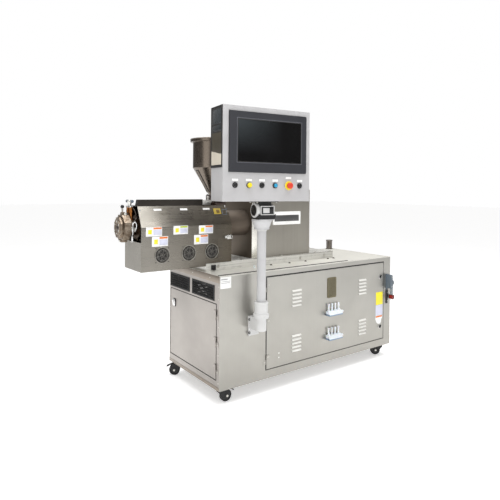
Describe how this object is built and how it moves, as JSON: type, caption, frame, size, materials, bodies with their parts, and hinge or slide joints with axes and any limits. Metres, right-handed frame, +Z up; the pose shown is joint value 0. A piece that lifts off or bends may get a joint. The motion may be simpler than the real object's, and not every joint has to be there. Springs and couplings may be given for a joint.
{
  "type": "plastic extruder",
  "caption": "Single-screw plastic extruder on a castered sheet-steel cabinet, with covered barrel, hopper, gearbox, clamped die and a swivelling control panel on an arm.",
  "frame": {"origin": "middle of the machine's footprint, on the floor", "axes": "+X along the cabinet from the die end to the drive end, +Y from the front with the large door to the back, +Z up"},
  "size_m": [2.268, 0.9482, 1.925],
  "materials": {
    "steel_panel": "fine brushed",
    "steel_deck": "polished",
    "frame_paint": "satin",
    "vent_black": "matt",
    "latch_black": "gloss",
    "mesh_olive": "satin",
    "bank_white": "gloss",
    "cover_steel": "brushed",
    "cap_dark": "brushed",
    "gear_steel": "brushed",
    "plate_blank": "satin",
    "barrel_steel": "turned",
    "heater_steel": "mica and steel",
    "clamp_steel": "turned",
    "probe_bronze": "satin",
    "guard_wire": "polished",
    "hopper_steel": "polished",
    "sight_dark": "gloss",
    "gate_steel": "polished",
    "arm_white": "gloss",
    "arm_grey": "satin",
    "panel_paint": "satin",
    "bezel_dark": "satin",
    "screen_glass": "gloss",
    "button_black": "gloss",
    "button_yellow": "gloss",
    "button_blue": "gloss",
    "button_grey": "gloss",
    "stop_red": "gloss",
    "switch_grey": "satin",
    "chrome": "polished",
    "caster_steel": "satin",
    "caster_rubber": "matt",
    "motor_paint": "satin"
  },
  "bodies": {
    "machine": {"cabinet_frame": "frame_paint", "deck_plate": "steel_deck", "front_skin": "steel_panel", "end_skin": "steel_panel", "rear_skins": "steel_panel", "heater_bands": "heater_steel", "floor_pan": "frame_paint", "vent_grilles": "vent_black", "base_channel": "steel_deck", "gearbox_housing": "gear_steel", "gearbox_plate": "plate_blank", "barrel": "barrel_steel", "feed_section": "barrel_steel", "screw": "barrel_steel", "barrel_cover": "cover_steel", "cover_cap": "cap_dark", "cooling_fans": "vent_black", "fan_guards": "guard_wire", "die_clamp": "clamp_steel", "die_head": "clamp_steel", "melt_probes": "probe_bronze", "hopper": "hopper_steel", "hopper_sight": "sight_dark", "feed_throat": "vent_black", "throat_gate": "gate_steel", "arm_bracket": "arm_white", "arm_post": "arm_grey", "disconnect_body": "switch_grey", "chrome_post": "chrome", "drive_motor": "motor_paint", "control_plate": "frame_paint", "caster_plates": "caster_steel"},
    "front_door": {"front_door": "steel_panel", "mesh_plate": "mesh_olive", "flow_bank_upper": "bank_white", "flow_bank_lower": "bank_white"},
    "end_door": {"end_door": "steel_panel"},
    "end_latch": {"end_latch": "latch_black"},
    "front_latch_upper": {"front_latch_upper": "latch_black"},
    "front_latch_lower": {"front_latch_lower": "latch_black"},
    "arm_head": {"arm_head": "arm_white"},
    "panel": {"panel_bracket": "arm_white", "panel_case": "panel_paint", "panel_bezel": "bezel_dark", "panel_screen": "screen_glass"},
    "stop_button": {"stop_button": "stop_red"},
    "disconnect_handle": {"disconnect_handle": "switch_grey"},
    "push_button_1": {"push_button_1": "button_black"},
    "push_button_2": {"push_button_2": "button_yellow"},
    "push_button_3": {"push_button_3": "button_black"},
    "push_button_4": {"push_button_4": "button_blue"},
    "push_button_5": {"push_button_5": "button_grey"},
    "caster_fork_fl": {"caster_fork_fl": "caster_steel"},
    "caster_wheel_fl": {"caster_wheel_fl": "caster_rubber"},
    "caster_fork_fr": {"caster_fork_fr": "caster_steel"},
    "caster_wheel_fr": {"caster_wheel_fr": "caster_rubber"},
    "caster_fork_rl": {"caster_fork_rl": "caster_steel"},
    "caster_wheel_rl": {"caster_wheel_rl": "caster_rubber"},
    "caster_fork_rr": {"caster_fork_rr": "caster_steel"},
    "caster_wheel_rr": {"caster_wheel_rr": "caster_rubber"}
  },
  "joints": [
    {"name": "front_door_hinge", "type": "hinge", "parent": "machine", "child": "front_door", "pos_m": [-0.2015, -0.23684, 0.4785], "axis": [0, 0, -1], "range_deg": [0, 90]},
    {"name": "end_door_hinge", "type": "hinge", "parent": "machine", "child": "end_door", "pos_m": [-0.591, -0.19234, 0.4105], "axis": [0, 0, 1], "range_deg": [0, 90]},
    {"name": "front_latch_upper_turn", "type": "hinge", "parent": "front_door", "child": "front_latch_upper", "pos_m": [1, -0.23184, 0.681], "axis": [0, 1, 0], "range_deg": [0, 90]},
    {"name": "front_latch_lower_turn", "type": "hinge", "parent": "front_door", "child": "front_latch_lower", "pos_m": [1, -0.23184, 0.266], "axis": [0, 1, 0], "range_deg": [0, 90]},
    {"name": "end_latch_turn", "type": "hinge", "parent": "end_door", "child": "end_latch", "pos_m": [-0.586, 0.39116, 0.556], "axis": [1, 0, 0], "range_deg": [0, 90]},
    {"name": "panel_swivel", "type": "hinge", "parent": "machine", "child": "arm_head", "pos_m": [-0.32, -0.32184, 1.139], "axis": [0, 0, 1], "range_deg": [-15, 40]},
    {"name": "panel_tilt", "type": "hinge", "parent": "arm_head", "child": "panel", "pos_m": [-0.32, -0.32184, 1.264], "axis": [0.9903, -0.1392, 0], "range_deg": [-6, 12]},
    {"name": "push_button_1_press", "type": "slide", "parent": "panel", "child": "push_button_1", "axis": [0.1392, 0.9903, 0], "range_m": [0, 0.003], "stiffness_N_per_m": 500, "springref_m": -0.002},
    {"name": "push_button_2_press", "type": "slide", "parent": "panel", "child": "push_button_2", "axis": [0.1392, 0.9903, 0], "range_m": [0, 0.003], "stiffness_N_per_m": 500, "springref_m": -0.002},
    {"name": "push_button_3_press", "type": "slide", "parent": "panel", "child": "push_button_3", "axis": [0.1392, 0.9903, 0], "range_m": [0, 0.003], "stiffness_N_per_m": 500, "springref_m": -0.002},
    {"name": "push_button_4_press", "type": "slide", "parent": "panel", "child": "push_button_4", "axis": [0.1392, 0.9903, 0], "range_m": [0, 0.003], "stiffness_N_per_m": 500, "springref_m": -0.002},
    {"name": "push_button_5_press", "type": "slide", "parent": "panel", "child": "push_button_5", "axis": [0.1392, 0.9903, 0], "range_m": [0, 0.003], "stiffness_N_per_m": 500, "springref_m": -0.002},
    {"name": "stop_button_press", "type": "slide", "parent": "panel", "child": "stop_button", "axis": [0.1392, 0.9903, 0], "range_m": [0, 0.005], "stiffness_N_per_m": 600, "springref_m": -0.002},
    {"name": "disconnect_turn", "type": "hinge", "parent": "machine", "child": "disconnect_handle", "pos_m": [1.121, -0.25784, 0.626], "axis": [-1, 0, 0], "range_deg": [0, 100]},
    {"name": "caster_swivel_fl", "type": "hinge", "parent": "machine", "child": "caster_fork_fl", "pos_m": [-0.532, -0.16784, 0.09], "axis": [0, 0, 1], "continuous": true},
    {"name": "caster_roll_fl", "type": "hinge", "parent": "caster_fork_fl", "child": "caster_wheel_fl", "pos_m": [-0.494, -0.16784, 0.04], "axis": [0, -1, 0], "continuous": true},
    {"name": "caster_swivel_fr", "type": "hinge", "parent": "machine", "child": "caster_fork_fr", "pos_m": [1.08, -0.16784, 0.09], "axis": [0, 0, 1], "continuous": true},
    {"name": "caster_roll_fr", "type": "hinge", "parent": "caster_fork_fr", "child": "caster_wheel_fr", "pos_m": [1.04926, -0.1455, 0.04], "axis": [0.5878, 0.809, 0], "continuous": true},
    {"name": "caster_swivel_rl", "type": "hinge", "parent": "machine", "child": "caster_fork_rl", "pos_m": [-0.532, 0.40416, 0.09], "axis": [0, 0, 1], "continuous": true},
    {"name": "caster_roll_rl", "type": "hinge", "parent": "caster_fork_rl", "child": "caster_wheel_rl", "pos_m": [-0.56274, 0.4265, 0.04], "axis": [0.5878, 0.809, 0], "continuous": true},
    {"name": "caster_swivel_rr", "type": "hinge", "parent": "machine", "child": "caster_fork_rr", "pos_m": [1.08, 0.40416, 0.09], "axis": [0, 0, 1], "continuous": true},
    {"name": "caster_roll_rr", "type": "hinge", "parent": "caster_fork_rr", "child": "caster_wheel_rr", "pos_m": [1.04556, 0.42022, 0.04], "axis": [0.4226, 0.9063, 0], "continuous": true}
  ]
}
